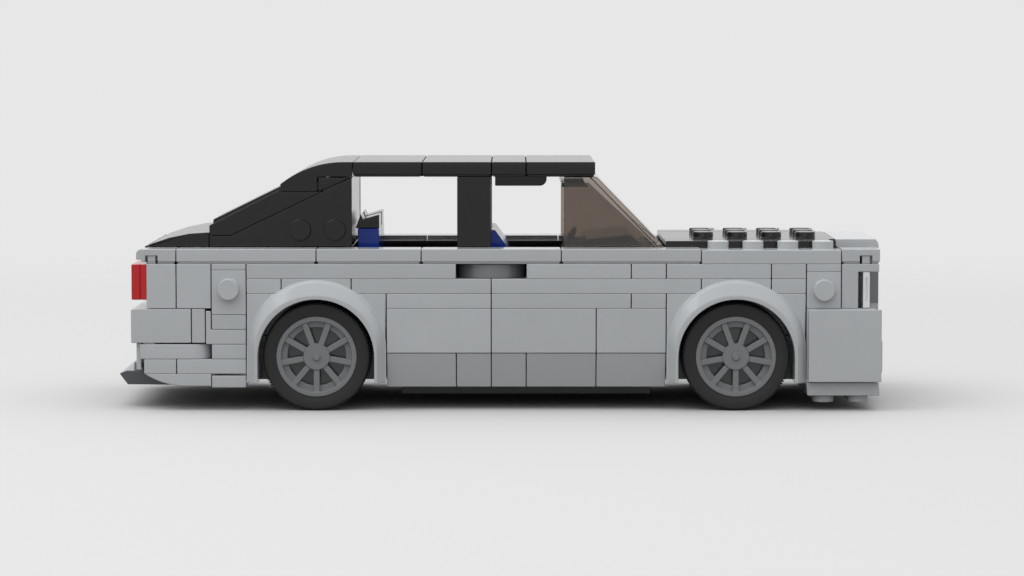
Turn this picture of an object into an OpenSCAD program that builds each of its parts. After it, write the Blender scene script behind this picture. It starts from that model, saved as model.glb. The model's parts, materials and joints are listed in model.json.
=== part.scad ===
// Toy brick sedan, eight studs wide. Millimetres, +X forward, +Y left, +Z up,
// origin on the ground under the middle of the car.

/* [Brick system] */
// Distance between stud centres
pitch = 8; // [7.8:0.1:9]
// Height of one plate; a brick is three plates high
plate_h = 3.4; // [3.2:0.1:3.8]
// Diameter of a stud
stud_d = 4.8; // [4.4:0.1:5]
// Height of a stud above its face
stud_h = 1.7; // [1.4:0.1:1.9]
// Room above a stud inside the piece that covers it
head_room = 0.5; // [0.3:0.1:0.7]
// Moulding gap from a piece's side wall to its grid line
side_gap = 0.1; // [0.05:0.01:0.15]
// Clearance between a stud and the walls, tubes and posts that grip it
stud_clear = 0.1; // [0.05:0.01:0.15]
// Seam left between stacked pieces of one kind
stack_gap = 0.04; // [0.02:0.01:0.08]
// Height of the groove round the foot of a tile
groove_h = 0.5; // [0.3:0.1:0.8]
// Depth of the groove round the foot of a tile
groove_d = 0.3; // [0.2:0.1:0.5]

/* [Wheels] */
// Outside diameter of a tyre
tyre_d = 24.8; // [23:0.2:26]
// Width of a tyre
tyre_w = 7; // [6:0.1:7.2]
// Corner radius of the tyre's shoulders
tyre_round = 0.8; // [0.4:0.1:1.5]
// Height of the tyre's wall from the rim to the tread
tyre_wall = 3.2; // [2.5:0.1:4]
// Thickness of the rim's barrel
rim_t = 0.9; // [0.7:0.1:1.2]
// Width of the flat ring on the rim's face
ring_w = 1.1; // [0.9:0.1:1.5]
// Width of the sunken ring behind the spokes' ends
step_w = 1.4; // [1:0.1:1.8]
// How far the sunken ring lies behind the face
step_d = 1.3; // [1:0.1:1.8]
// Number of spokes
spoke_n = 9; // [5:1:11]
// Width of a spoke
spoke_w = 1.45; // [1:0.05:1.8]
// Thickness of a spoke
spoke_t = 1.6; // [1.2:0.1:2.2]
// Diameter of the hub
hub_d = 6.6; // [6.4:0.1:7.4]
// Diameter of the nub in the middle of the hub
nub_d = 1.7; // [1.2:0.1:2.2]
// Diameter of the pin that carries a wheel
pin_d = 4.4; // [4:0.1:4.6]
// How far a pin reaches into its wheel
pin_reach = 5.5; // [5:0.1:5.8]
// Radial running clearance of a wheel on its pin
run_clear = 0.05; // [0.03:0.01:0.08]
// Radial clearance of the pin in its brick
pin_clear = 0.02; // [0.01:0.01:0.04]
// Height of an axle brick above the middle of its pin hole
pin_cover = 4.3; // [4:0.1:4.6]
// Gap between the tyre and the wheel arch
arch_clear = 0.9; // [0.7:0.1:1.5]
// Width of an arch's legs beside the opening
arch_leg = 2.7; // [2.3:0.1:3.5]
// Height of an arch above the crown of its opening
arch_crown = 1.2; // [1:0.1:2]
// How far the arch flare stands out from the side
flare_out = 2.5; // [1.5:0.1:3.5]
// How far the flare narrows towards its lip
flare_taper = 1.4; // [0.8:0.1:1.4]

/* [Body] */
// How many studs each end of the belly is set in
belly_in = 0.4; // [0.2:0.1:0.6]
// Ground clearance under the belly
ground_gap = 3.1; // [2.5:0.1:4]
// Stud line of the rear axle, counted from the tail
rear_axle = 4;
// Stud line of the front axle
front_axle = 16;
// Stud position of the tail end
tail_k = -1.75; // [-1.9:0.05:-1.5]
// Stud position of the rear face of the bumper and the tail lamps
bumper_k = -1.3; // [-1.36:0.02:-1.2]
// Stud position of the rear face of the panel behind the lamps
back_k = -0.86; // [-0.9:0.02:-0.8]
// Stud position of the foremost edge of the front bumper
nose_k = 20.4; // [20.3:0.05:20.6]
// How far the rear quarter sits below the plate grid
rear_drop = 1.4; // [1.2:0.1:1.6]
// Height of the bonnet top above the waist tiles
hood_rise = 1.4; // [1.1:0.1:1.6]
// How far the bonnet studs are sunk into its panel
stud_sink = 0.4; // [0.2:0.1:0.6]
// Thickness of the thin plates over the headlamps
light_gap = 1.8; // [1.6:0.1:2]
// Thickness of the flange that carries the sill pieces
flange_t = 1.2; // [1:0.1:1.6]
// Tilt of the sill's outer face, degrees
sill_tilt = 16; // [4:1:20]
// Height from the waist to the underside of the roof
cabin_h = 16.2; // [15.5:0.1:17]
// Height of the rear window's foot above the waist
window_foot = 5.7; // [5:0.1:6.5]
// How far the top of the rear window lies below the roof's underside
window_drop = 2.3; // [2:0.1:2.8]
// Height of the foot of the wedge plates beside the rear window
wedge_foot = 3; // [2.6:0.1:3.4]
// Thickness of the pieces hung under the roof
visor_t = 2.4; // [2:0.1:3]
// Stud position of the windscreen's upper edge
glass_k = 12.12; // [12:0.02:12.2]
// Thickness of the windscreen
glass_t = 1.5; // [1.2:0.1:1.8]
// How far the front side tiles stand out from the side
tile_proud = 1.7; // [1:0.1:2.4]
// Width of the grille's frame
frame_w = 2.4; // [1.8:0.1:3]
// Radius of the rear bumper's upper edge
bumper_round = 0.5; // [0.3:0.1:3]
// Number of bars in the grille
bar_n = 9; // [7:1:11]
// Width of a grille bar
bar_w = 1.4; // [1:0.1:1.8]

/* [Rows of pieces, each first stud and stud count] */
// Waist tiles
belt_row = [[0, 4], [4, 3], [7, 4], [11, 4]];
// Shoulder plates, two studs wide
shoulder_row = [[2, 6], [10, 3], [13, 1], [14, 3], [17, 1]];
// Middle side plates
middle_row = [[2, 1], [3, 2], [5, 4], [9, 6], [15, 2], [17, 1]];
// Lower side plates
lower_row = [[6, 3], [9, 4], [13, 1]];
// Door bricks
door_row = [[6, 3], [9, 3], [12, 2]];
// Sill pieces
sill_row = [[6, 2], [8, 1], [9, 1], [10, 2], [12, 2]];
// Roof tiles
roof_row = [[5, 2], [7, 2], [9, 1], [10, 2]];

/* [Hidden] */
$fn = 48;
axle_z = tyre_d / 2;
rim_d = tyre_d - 2 * tyre_wall;
rim_line = (pitch - stud_d) / 2 - stud_clear;
skin_t = plate_h - stud_h - head_room;
arch_r = tyre_d / 2 + arch_clear;
arch_half = arch_r + arch_leg;
arch_top = axle_z + arch_r + arch_crown;
arch_extra = 2 * arch_half - 4 * pitch;
close_pitch = min(pitch, arch_half / 2);
tube_d = sqrt(pow(pitch, 2) + pow(close_pitch, 2)) - stud_d - 2 * stud_clear;
tube_bore = tube_d * 0.76;
post_d = close_pitch - stud_d - 2 * stud_clear;
flare_r = arch_half - 2.5 * side_gap;
belt_z = gz(10);
roof_z = belt_z + cabin_h;
hood_z = belt_z + hood_rise;
lamp_z = gz(9) - light_gap;
side_y = 4 * pitch;
cabin_y = 3 * pitch;
bumper_z = gz(6) - pitch;
quarter_z = gz(6) - rear_drop;
foot_z = bumper_z - 2 * side_gap - plate_h;
wedge_k = 1.77;
quarter_h = (quarter_z - foot_z) / 3;
wheel_y = cabin_y + pitch / 2 + 0.1;
eps = 0.01;

grey = [0.62, 0.63, 0.64];
dark = [0.3, 0.3, 0.31];
black = [0.1, 0.1, 0.1];

// Share of the arch at axle a that lies behind stud line k
function arch_share(k, a) = max(0, min(1, (k - a + 2) / 4));
function along(k) = k * pitch + arch_extra * (arch_share(k, rear_axle) + arch_share(k, front_axle));
// Place of stud line k; an arch takes the width that its wheel needs
function gx(k) = along(k) - (along(tail_k) + along(nose_k)) / 2;
// Height of plate level n: the lower ones stand on the belly, the upper ones on the arches
function gz(n) = n < 4 ? ground_gap + n * plate_h : arch_top + (n - 7) * plate_h;
function kz(points) = [for (p = points) [gx(p[0]), p[1]]];

module both_sides() { children(); mirror([0, 1, 0]) children(); }

// A side profile in X and Z, drawn out from y0 to y1
module across(y0, y1) {
  translate([0, y1, 0]) rotate([90, 0, 0]) linear_extrude(y1 - y0) children();
}

// Pieces are placed by stud line k, stud row j from the middle and height z,
// with nx by ny studs and height h

// Upright studs on a face at height z
module studs(k, j, z, nx, ny) {
  for (i = [0 : nx - 1], m = [0 : ny - 1])
    translate([gx(k + i + 0.5), (j + m + 0.5) * pitch, z - skin_t / 2])
      cylinder(d = stud_d, h = stud_h + skin_t / 2);
}

// A plain block inside its grid lines
module block(k, j, z, nx, ny, h, inset = side_gap) {
  translate([gx(k) + inset, j * pitch + inset, z])
    cube([gx(k + nx) - gx(k) - 2 * inset, ny * pitch - 2 * inset, h]);
}

// The space inside a piece's walls, open below
module hollow(k, j, z, nx, ny, deep) block(k, j, z - 1, nx, ny, deep + 1, rim_line);

// Tubes between four studs, or posts between two
module grips(k, j, z, nx, ny, deep) {
  if (nx > 1 && ny > 1)
    for (i = [1 : nx - 1], m = [1 : ny - 1]) translate([gx(k + i), (j + m) * pitch, z]) difference() {
      cylinder(d = tube_d, h = deep + skin_t / 2);
      translate([0, 0, -1]) cylinder(d = tube_bore, h = deep + 1);
    }
  else if (nx > 1)
    for (i = [1 : nx - 1]) translate([gx(k + i), (j + 0.5) * pitch, z])
      cylinder(d = post_d, h = deep + skin_t / 2);
  else if (ny > 1)
    for (m = [1 : ny - 1]) translate([gx(k + 0.5), (j + m) * pitch, z])
      cylinder(d = post_d, h = deep + skin_t / 2);
}

// A hollow brick or plate
module brick(k, j, z, nx, ny, h, bare = false) {
  deep = h - skin_t;
  difference() {
    block(k, j, z, nx, ny, h);
    hollow(k, j, z, nx, ny, deep);
  }
  grips(k, j, z, nx, ny, deep);
  if (!bare) studs(k, j, z + h, nx, ny);
}

// A smooth tile with the groove round its foot
module tile(k, j, z, nx, ny, h) {
  difference() {
    union() {
      block(k, j, z + groove_h, nx, ny, h - groove_h);
      block(k, j, z, nx, ny, h, side_gap + groove_d);
    }
    hollow(k, j, z, nx, ny, h - skin_t);
  }
  grips(k, j, z, nx, ny, h - skin_t);
}

// One row of one-stud-wide pieces along the side from level n to level m, smooth from stud line k0 to k1
module side_row(row, n, m, k0 = 0, k1 = 0) {
  for (p = row) {
    brick(p[0], 3, gz(n), p[1], 1, gz(m) - gz(n), true);
    for (k = [p[0] : p[0] + p[1] - 1]) if (k < k0 || k >= k1) studs(k, 3, gz(m), 1, 1);
  }
}

// A stud that points out of the left side at stud line k and height z
module side_stud(k, z, y) {
  translate([gx(k), y - 0.5, z]) rotate([-90, 0, 0]) cylinder(d = stud_d, h = stud_h + 0.5);
}

module belly_plate() color(black) {
  deep = plate_h - skin_t;
  difference() {
    block(6, -3, gz(0), 8, 6, plate_h);
    hollow(6 + belly_in, -3, gz(0), 8 - 2 * belly_in, 6, deep);
    for (k = [5, 14 - belly_in]) block(k, -4, gz(0) - 1, 1 + belly_in, 8, deep + 1, 0);
  }
  grips(6, -3, gz(0), 8, 6, deep);
  studs(6, -3, gz(1), 8, 6);
}

module frame_plates() color(black) {
  brick(2, -2, gz(1), 10, 4, plate_h, true);
  brick(12, -2, gz(1), 6, 4, plate_h, true);
}

module axle_carriers() color(black)
  for (a = [rear_axle, front_axle]) brick(a - 1, -3, gz(0), 2, 6, plate_h);

module axle_bricks() color(black) both_sides()
  for (a = [rear_axle, front_axle]) {
    difference() {
      block(a - 1, 2, gz(1), 2, 1, axle_z + pin_cover - gz(1));
      hollow(a - 1, 2, gz(1), 2, 1, stud_h + head_room / 2);
      translate([gx(a), 2 * pitch - 1, axle_z]) rotate([-90, 0, 0])
        cylinder(d = pin_d + 2 * pin_clear, h = pitch + 2);
    }
    studs(a - 1, 2, axle_z + pin_cover, 2, 1);
  }

module wheel_pins() color(dark) both_sides()
  for (a = [rear_axle, front_axle]) translate([gx(a), cabin_y, axle_z]) rotate([-90, 0, 0]) {
    translate([0, 0, 0.5 - pitch]) cylinder(d = pin_d, h = pitch - 0.5 + pin_reach);
    translate([0, 0, 0.05]) cylinder(d = hub_d - 0.6, h = 0.8);
  }

// Black bricks behind each wheel: a long one over the axle brick and one on either side
module wheel_well_bricks() color(black) both_sides()
  for (a = [rear_axle, front_axle]) {
    z = axle_z + pin_cover;
    brick(a - 2, 2, z, 4, 1, gz(8) - z);
    for (s = [-2, 1]) brick(a + s, 2, gz(1), 1, 1, z - gz(1) - stack_gap);
  }

// One rim, its axis along +Z and its face up, the origin in the middle of its width
module rim() color(dark) {
  half = tyre_w / 2;
  back = 1 + cabin_y - wheel_y;
  inner_d = rim_d - 2 * ring_w;
  difference() {
    cylinder(d = rim_d, h = tyre_w, center = true);
    cylinder(d = rim_d - 2 * rim_t, h = tyre_w + 1, center = true);
  }
  translate([0, 0, half - step_d - spoke_t]) difference() {
    cylinder(d = rim_d - rim_t, h = step_d + spoke_t);
    translate([0, 0, spoke_t]) cylinder(d = inner_d, h = step_d + 1);
    translate([0, 0, -1]) cylinder(d = inner_d - 2 * step_w, h = spoke_t + step_d + 2);
  }
  difference() {
    union() {
      translate([0, 0, back]) cylinder(d = hub_d, h = half - 0.2 - back);
      cylinder(d = nub_d, h = half + 0.3);
      for (i = [0 : spoke_n - 1]) rotate([0, 0, i * 360 / spoke_n - 90])
        translate([hub_d / 2 - 0.5, -spoke_w / 2, half - 0.4 - spoke_t])
          cube([inner_d / 2 - hub_d / 2 + 0.6, spoke_w, spoke_t]);
    }
    translate([0, 0, back - 1]) cylinder(d = pin_d + 2 * run_clear, h = pin_reach + 0.3);
  }
}

// One tyre round its rim, with rounded shoulders
module tyre() color([0.16, 0.16, 0.16]) rotate_extrude() {
  r = tyre_round;
  h = tyre_w / 2;
  translate([rim_d / 2, -h]) square([tyre_wall - r, tyre_w]);
  translate([rim_d / 2, r - h]) square([tyre_wall, tyre_w - 2 * r]);
  for (s = [-1, 1]) translate([tyre_d / 2 - r, s * (h - r)]) circle(r);
}

// Puts a wheel part on the axle at stud line a, side s
module wheel_at(a, s) {
  translate([gx(a), s * wheel_y, axle_z]) rotate([-90 * s, 0, 0]) children();
}

module rim_front_left() wheel_at(front_axle, 1) rim();
module rim_front_right() wheel_at(front_axle, -1) rim();
module rim_rear_left() wheel_at(rear_axle, 1) rim();
module rim_rear_right() wheel_at(rear_axle, -1) rim();
module tyre_front_left() wheel_at(front_axle, 1) tyre();
module tyre_front_right() wheel_at(front_axle, -1) tyre();
module tyre_rear_left() wheel_at(rear_axle, 1) tyre();
module tyre_rear_right() wheel_at(rear_axle, -1) tyre();

// Cabin floor, with bare studs in the two footwells
module floor_plate() color(black) {
  brick(6, -3, gz(2), 8, 6, plate_h, true);
  for (k = [8, 11]) studs(k, -3, gz(3), 1, 6);
}

// Brackets under the doors: a flat plate on the belly plate and a flange outside
module sill_brackets() color(black) both_sides()
  for (k = [6, 10]) {
    brick(k, 2, gz(1), 4, 1, plate_h, true);
    translate([gx(k) + side_gap, cabin_y - side_gap - eps, gz(1)])
      cube([4 * pitch - 2 * side_gap, flange_t, plate_h]);
    translate([gx(k) + side_gap, cabin_y, gz(3) - pitch + side_gap])
      cube([4 * pitch - 2 * side_gap, flange_t, pitch - 2 * side_gap]);
    for (i = [0 : 3]) side_stud(k + i + 0.5, gz(3) - pitch / 2, cabin_y + flange_t);
  }

// Sill pieces stand sideways on the flange studs; the face leans in at its foot
module sill_pieces() color(0.86 * grey) both_sides() {
  y0 = cabin_y + flange_t;
  y1 = side_y - 3 * side_gap;
  for (p = sill_row) difference() {
    translate([gx(p[0]) + side_gap, 0, 0]) rotate([90, 0, 90]) linear_extrude(p[1] * pitch - 2 * side_gap)
      polygon([[y0, gz(3) - side_gap], [y1, gz(3) - side_gap],
        [y1 - tan(sill_tilt) * pitch, gz(3) - pitch], [y0, gz(3) - pitch]]);
    translate([gx(p[0]) + rim_line, y0 - 1, gz(3) - pitch + rim_line])
      cube([p[1] * pitch - 2 * rim_line, 1 + stud_h + head_room, pitch - 2 * rim_line]);
  }
}

module door_bricks() color(grey) both_sides() side_row(door_row, 3, 6);
module lower_side_plates() color(grey) both_sides() side_row(lower_row, 6, 7);
module middle_side_plates() color(grey) both_sides() side_row(middle_row, 7, 8, 8, 10);

module shoulder_plates() color(grey) both_sides()
  for (p = shoulder_row) brick(p[0], 2, gz(8), p[1], 2, plate_h);

module waist_tiles() color(grey) both_sides()
  for (p = belt_row) tile(p[0], 3, gz(9), p[1], 1, plate_h);

// A shallow recess with two slots, which leaves a tab in the foot of a waist tile
module tab_recess(k) {
  w = 0.35 * pitch;
  h = 1 + 0.56 * plate_h;
  slot = 0.06 * pitch;
  translate([gx(k) - w / 2, side_y - side_gap - groove_d, gz(9) - 1]) cube([w, 1, h]);
  for (x = [-w / 2, w / 2 - slot])
    translate([gx(k) + x, side_y - 5 * groove_d, gz(9) - 1]) cube([slot, 2, h]);
}

// Short waist tiles at the corners; the rear one is rounded behind
module waist_end_tiles() color(grey) both_sides() {
  r = 0.15 * pitch;
  x0 = gx(-1.14);
  y1 = side_y - side_gap;
  difference() {
    union() {
      across(3 * pitch + side_gap, y1) {
        translate([x0 + r, gz(9) + groove_h]) square([gx(0) - side_gap - x0 - r, plate_h - groove_h]);
        translate([x0, gz(9) + 2 * groove_h]) square([2 * r, plate_h - r - 2 * groove_h]);
        translate([x0 + r, belt_z - r]) circle(r);
      }
      across(3 * pitch + side_gap + groove_d, y1 - groove_d)
        translate([gx(back_k), gz(9)]) square([gx(-0.05) - gx(back_k), plate_h / 2]);
    }
    tab_recess(-0.7);
  }
  difference() {
    tile(19, 3, gz(9), 1, 1, plate_h);
    tab_recess(19.7);
  }
}

module fender_stud_plates() color(grey) both_sides() brick(15, 3, gz(9), 4, 1, plate_h);

// Door handles: half-round pieces that curve away into the recess at both ends
module door_handles() color(dark) both_sides() intersection() {
  r = pitch - side_gap;
  block(8, 3, gz(8), 2, 1, plate_h - side_gap);
  translate([gx(9), side_y - 1 - r, gz(8) - 1]) cylinder(r = r, h = plate_h + 2);
}

// Wheel arches: a block over each wheel and a flare that stands out round it
module wheel_arches() color(grey) both_sides()
  for (a = [rear_axle, front_axle]) difference() {
    c = gz(8) - side_gap - flare_r;
    union() {
      block(a - 2, 3, gz(1), 4, 1, gz(7) - gz(1));
      studs(a - 2, 3, gz(7), 4, 1);
      translate([gx(a), side_y - side_gap, 0]) {
        intersection() {
          translate([0, 0, c]) rotate([-90, 0, 0])
            cylinder(r1 = flare_r, r2 = flare_r - flare_taper, h = flare_out);
          translate([-arch_half, 0, c]) cube([2 * arch_half, flare_out, 2 * arch_half]);
        }
        translate([0, 0, gz(1)]) linear_extrude(c - gz(1)) polygon([[-flare_r, 0], [flare_r, 0],
          [flare_r - flare_taper, flare_out], [flare_taper - flare_r, flare_out]]);
      }
    }
    translate([gx(a), 3 * pitch - 1, 0]) {
      translate([0, 0, axle_z]) rotate([-90, 0, 0]) cylinder(r = arch_r, h = 2 * pitch);
      translate([-arch_r, 0, 0]) cube([2 * arch_r, 2 * pitch, axle_z]);
    }
  }

// Bricks with a bare stud on the side, behind the rear wheel and before the front one
module side_stud_bricks() color(grey) both_sides() {
  brick(1, 3, quarter_z, 1, 1, gz(9) - rear_drop - quarter_z, true);
  side_stud(1.5, gz(9) - rear_drop - pitch / 2, side_y - side_gap);
  brick(18, 3, gz(6), 1, 1, lamp_z - gz(6), true);
  side_stud(18.5, (lamp_z + gz(6)) / 2, side_y - side_gap);
}

// The stepped plates of the rear quarter, from the filler down to the skirt
module rear_quarter_plates() color(grey) both_sides() {
  h = quarter_h - stack_gap;
  block(1, 3, gz(9) - rear_drop, 1, 1, rear_drop);
  brick(1, 3, quarter_z - quarter_h, 1, 1, h, true);
  brick(1, 3, quarter_z - 2 * quarter_h, 1, 1, h);
  block(0.83, 3, quarter_z - 2 * quarter_h, 0.3, 1, h);
  block(0.83, 3, quarter_z - quarter_h - 2 * stack_gap, 0.17, 1, quarter_h);
  brick(1, 3, foot_z, 1, 1, h);
  brick(0, 3, foot_z - plate_h, 2, 1, plate_h - stack_gap, true);
  block(-0.89, 3, foot_z - plate_h, 0.89, 1, plate_h - stack_gap);
  brick(1, 3, foot_z - 2 * plate_h, 1, 1, plate_h - 0.4, true);
}

module rear_corner_bricks() color(grey) both_sides() {
  brick(0, 3, gz(6), 1, 1, gz(9) - gz(6));
  block(back_k, 3, gz(6), -back_k, 1, gz(9) - gz(6));
}

// Tail lamps, each with a seam between its tile and the plate behind it
module tail_lamps() color([0.62, 0.12, 0.12]) both_sides() difference() {
  x0 = gx(bumper_k) + 2 * side_gap;
  h = pitch - 2 * side_gap;
  translate([x0, 2 * pitch + side_gap, gz(9) - pitch + side_gap])
    cube([gx(back_k) - x0 + side_gap, 2 * pitch - 2 * side_gap, h]);
  translate([gx(-1.04), side_y - 3 * side_gap, gz(9) - pitch]) cube([2 * side_gap, 1, pitch]);
}

// The middle of the tail, under the boot lid
module boot_panel() color(grey)
  for (j = [-3, -1, 1]) block(back_k, j, gz(6), -back_k, 2, belt_z - gz(6));

// Rear bumper: three blocks with a rounded upper edge, and the plate on its front end
module rear_bumper() color(grey) {
  r = bumper_round;
  x0 = gx(bumper_k);
  x1 = gx(0.43) - side_gap;
  h = pitch - 2 * side_gap;
  for (p = [[-4, 2], [-2, 4], [2, 2]])
    across(p[0] * pitch + side_gap, (p[0] + p[1]) * pitch - side_gap)
      translate([0, bumper_z + side_gap]) {
      translate([x0 + r, 0]) square([x1 - x0 - r, h]);
      translate([x0, 0]) square([r, h - r]);
      translate([x0 + r, h - r]) circle(r);
    }
  both_sides() block(0.43, 3, bumper_z + side_gap, 0.4, 1, h);
}

// Strips below the bumper, rounded at the front end, and the post behind each
module rear_strips() color(grey) both_sides() {
  r = pitch / 2 - side_gap;
  x0 = gx(-0.97);
  x1 = gx(0.97) - r;
  z = foot_z - 0.75 * plate_h;
  translate([0, 3.5 * pitch, foot_z]) linear_extrude(plate_h) {
    translate([x0, -r]) square([x1 - x0, 2 * r]);
    translate([x1, 0]) circle(r);
  }
  translate([gx(-1.09), 3 * pitch + side_gap, z]) cube([0.14 * pitch, 0.85 * pitch, bumper_z - z]);
}

// The closed middle below the bumper and the rounded foot of each corner
module rear_valance() color(grey) {
  z = foot_z - plate_h;
  r = 3.75 * plate_h;
  h = plate_h - 0.6;
  for (j = [-3, -1, 1]) block(-0.75, j, z, 1.75, 2, bumper_z - z);
  both_sides() across(3 * pitch + side_gap, side_y - side_gap) {
    intersection() {
      translate([gx(-0.89), z - h]) square([gx(0.37) - gx(-0.89), h]);
      translate([gx(0.37), z - h + r]) circle(r);
    }
    translate([gx(0.36), z - h]) square([gx(1) - gx(0.36) - side_gap, h]);
  }
}

// Diffuser: a dark plate with a chamfered tail and a row of studs along it
module diffuser() color(dark) {
  z = foot_z - 2 * plate_h;
  x0 = gx(tail_k);
  x1 = gx(1) - side_gap;
  across(side_gap - cabin_y, cabin_y - side_gap) polygon([[x0, z + 0.8 * plate_h],
    [x0 + 0.56 * plate_h, z + 0.06 * plate_h], [x1, z], [x1, z + plate_h],
    [x0 + 0.47 * plate_h, z + plate_h]]);
  studs(-1.58, -3, z + plate_h, 1, 6);
}

// Boot lid: three rounded slopes
module boot_slopes() color(black) {
  r = 10.4 * plate_h;
  for (j = [-3, -1, 1]) across(j * pitch + side_gap, (j + 2) * pitch - side_gap) intersection() {
    translate([gx(back_k), belt_z]) square([gx(1) - gx(back_k) - side_gap, plate_h]);
    translate([gx(1), belt_z + plate_h - r]) circle(r);
  }
}

// Wedge plates on edge beside the rear window, with a low foot behind and two bare studs
module quarter_wedges() color(black) both_sides() {
  across(cabin_y - plate_h, cabin_y - side_gap) polygon(kz([[1.02, belt_z], [4.98, belt_z],
    [4.98, roof_z - 2 * side_gap], [wedge_k, belt_z + wedge_foot], [1.02, belt_z + wedge_foot]]));
  for (k = [3.5, 4.5]) side_stud(k, belt_z + pitch / 2, cabin_y - side_gap);
}

// Rear window: three sloped bricks, and the sloped band above each wedge plate
module rear_window_slopes() color(black) {
  w = (cabin_y - plate_h) / 3;
  top = roof_z - plate_h - stack_gap;
  rise = cabin_h - wedge_foot - 2 * side_gap;
  k1 = wedge_k + (rise - plate_h) / rise * (4.98 - wedge_k);
  for (s = [-1, 0, 1]) across((2 * s - 1) * w + side_gap, (2 * s + 1) * w - side_gap)
    polygon(kz([[1.02, belt_z], [1.02, belt_z + window_foot], [2.98, roof_z - window_drop],
      [2.98, top], [4.4, top], [1.9, belt_z]]));
  z0 = belt_z + wedge_foot + side_gap;
  both_sides() across(cabin_y - plate_h, cabin_y - side_gap) polygon(kz([[1.02, z0], [wedge_k - 0.03, z0],
    [k1, top], [2.98, top], [2.98, roof_z - window_drop], [1.02, belt_z + window_foot]]));
}

// Rounded slopes from the rear window up to the roof
module roof_rear_curves() color(black) {
  r = 6.7 * plate_h;
  x0 = gx(4.72);
  top = roof_z + plate_h;
  for (j = [-3, -1, 1]) across(j * pitch + side_gap, (j + 2) * pitch - side_gap) intersection() {
    polygon(kz([[3.01, roof_z - plate_h], [4.08, roof_z - plate_h], [4.08, roof_z], [4.99, roof_z],
      [4.99, top], [3.01, top]]));
    union() {
      translate([x0, top - r]) circle(r, $fn = 96);
      translate([x0, roof_z - 1]) square([pitch, plate_h + 1]);
    }
  }
}

// Roof tiles, with lugs in the joints between them
module roof_tiles() color(black) {
  gap = side_gap + groove_d;
  for (p = roof_row) tile(p[0], -3, roof_z, p[1], 6, plate_h);
  both_sides() for (p = roof_row) if (p[0] + p[1] < 12)
    translate([gx(p[0] + p[1]) - gap - eps, cabin_y - pitch / 2, roof_z]) {
      cube([2 * gap - stack_gap, 1, groove_h - stack_gap]);
      cube([gap + side_gap - stack_gap, 1, plate_h - groove_d]);
    }
}

// Pieces under the roof: the fillers above the wedge plates, the rounded plate above the front seats
// and the windscreen's header
module roof_underplates() color(black) {
  r = 1.6;
  w = 1.5 * pitch;
  z = roof_z - visor_t;
  both_sides() across(cabin_y - plate_h, cabin_y - side_gap)
    polygon(kz([[4.12, roof_z - plate_h + stack_gap], [4.93, roof_z - 1.2 * side_gap],
    [4.12, roof_z - side_gap]]));
  across(-2 * pitch, 2 * pitch) translate([gx(9.1), z]) {
    square([w - r, visor_t]);
    translate([0, r]) square([w, visor_t - r]);
    translate([w - r, r]) circle(r);
  }
  across(glass_t + 0.3 - cabin_y, cabin_y - glass_t - 0.3) polygon(kz([[11.02, z],
    [11.8, z], [11.72, roof_z - glass_t], [11.02, roof_z - glass_t]]));
}

// Door pillars, and the plates behind the door handles below them
module centre_pillars() color(black) both_sides() {
  brick(8, 2, belt_z, 1, 1, cabin_h, true);
  brick(8, 2, gz(8), 2, 1, plate_h);
}

// Black plates round the cabin at waist height, and the parcel shelf
module inner_sills() color(black) {
  brick(1, -3, gz(9), 4, 6, plate_h, true);
  both_sides() for (p = [[5, 4], [9, 4], [13, 1]]) brick(p[0], 2, gz(9), p[1], 1, plate_h, true);
}

// Windscreen with side cheeks, open behind and below
module windscreen() color([0.42, 0.38, 0.35, 0.6]) {
  y = cabin_y - side_gap;
  difference() {
    across(-y, y) polygon(kz([[11.08, belt_z], [13.9, belt_z], [glass_k, roof_z], [11.08, roof_z]]));
    across(glass_t - y, y - glass_t)
      polygon([[gx(11), belt_z - 1], [gx(13.9) - 1.2 * glass_t + 0.9, belt_z - 1],
      [gx(glass_k) - 1.2 * glass_t, roof_z - glass_t], [gx(11), roof_z - glass_t]]);
    both_sides() across(y - glass_t / 3, y + 1) polygon([[gx(13.9) - 0.4 * glass_t, belt_z - 1],
      [gx(13.9) + 3, belt_z - 1], [gx(glass_k) + 3, roof_z + 1],
      [gx(glass_k) - 1.7 * glass_t, roof_z + 1]]);
  }
}

// Dashboard: a wall up to the waist and a wider top under the windscreen
module dashboard() color(black) {
  w = 2 * pitch - 3 * side_gap;
  across(-w, w) polygon(kz([[12.5, gz(3)], [12.5, belt_z - 4], [12.1, belt_z - 2.5], [12.1, belt_z + 0.1],
    [13.4, belt_z + 0.1], [13.9, belt_z - 0.5], [13.9, gz(3)]]));
  across(3 - cabin_y, cabin_y - 3)
    polygon(kz([[12.1, belt_z], [13.4, belt_z], [13.2, belt_z + 1.4], [12.1, belt_z + 0.6]]));
}

// Steering wheel on its stalk, in front of the left seat
module steering_wheel() color(black) translate([gx(11.5), 1.5 * pitch, belt_z + 1]) rotate([0, -62, 0]) {
  rotate_extrude() translate([3.6, 0]) circle(0.8);
  difference() {
    cylinder(r = 3.6, h = 0.9, center = true);
    for (i = [0 : 2]) rotate([0, 0, 60 + 120 * i]) translate([2, 0, -1]) cylinder(r = 1.1, h = 2);
  }
  translate([0, 0, -5]) cylinder(r = 0.8, h = 5);
}

// Seats: a brick base and a leaning back
module seats() color([0.08, 0.13, 0.29]) both_sides() {
  across(3 * side_gap, 2 * pitch - 3 * side_gap)
    polygon(kz([[9.1, gz(3)], [11.1, gz(3)], [11.1, gz(6) - 1], [10.2, gz(6)], [9.42, belt_z],
    [9.05, belt_z + 5.8], [8.5, belt_z + 5.8], [8.85, belt_z], [9.3, gz(6)]]));
  across(3 * side_gap, 2 * pitch - 3 * side_gap)
    polygon(kz([[6.1, gz(3)], [7.7, gz(3)], [7.7, gz(6) - 1], [6.5, gz(6)],
    [5.72, belt_z + 3.8], [5.1, belt_z + 3.8], [5.75, gz(6)]]));
}

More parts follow.
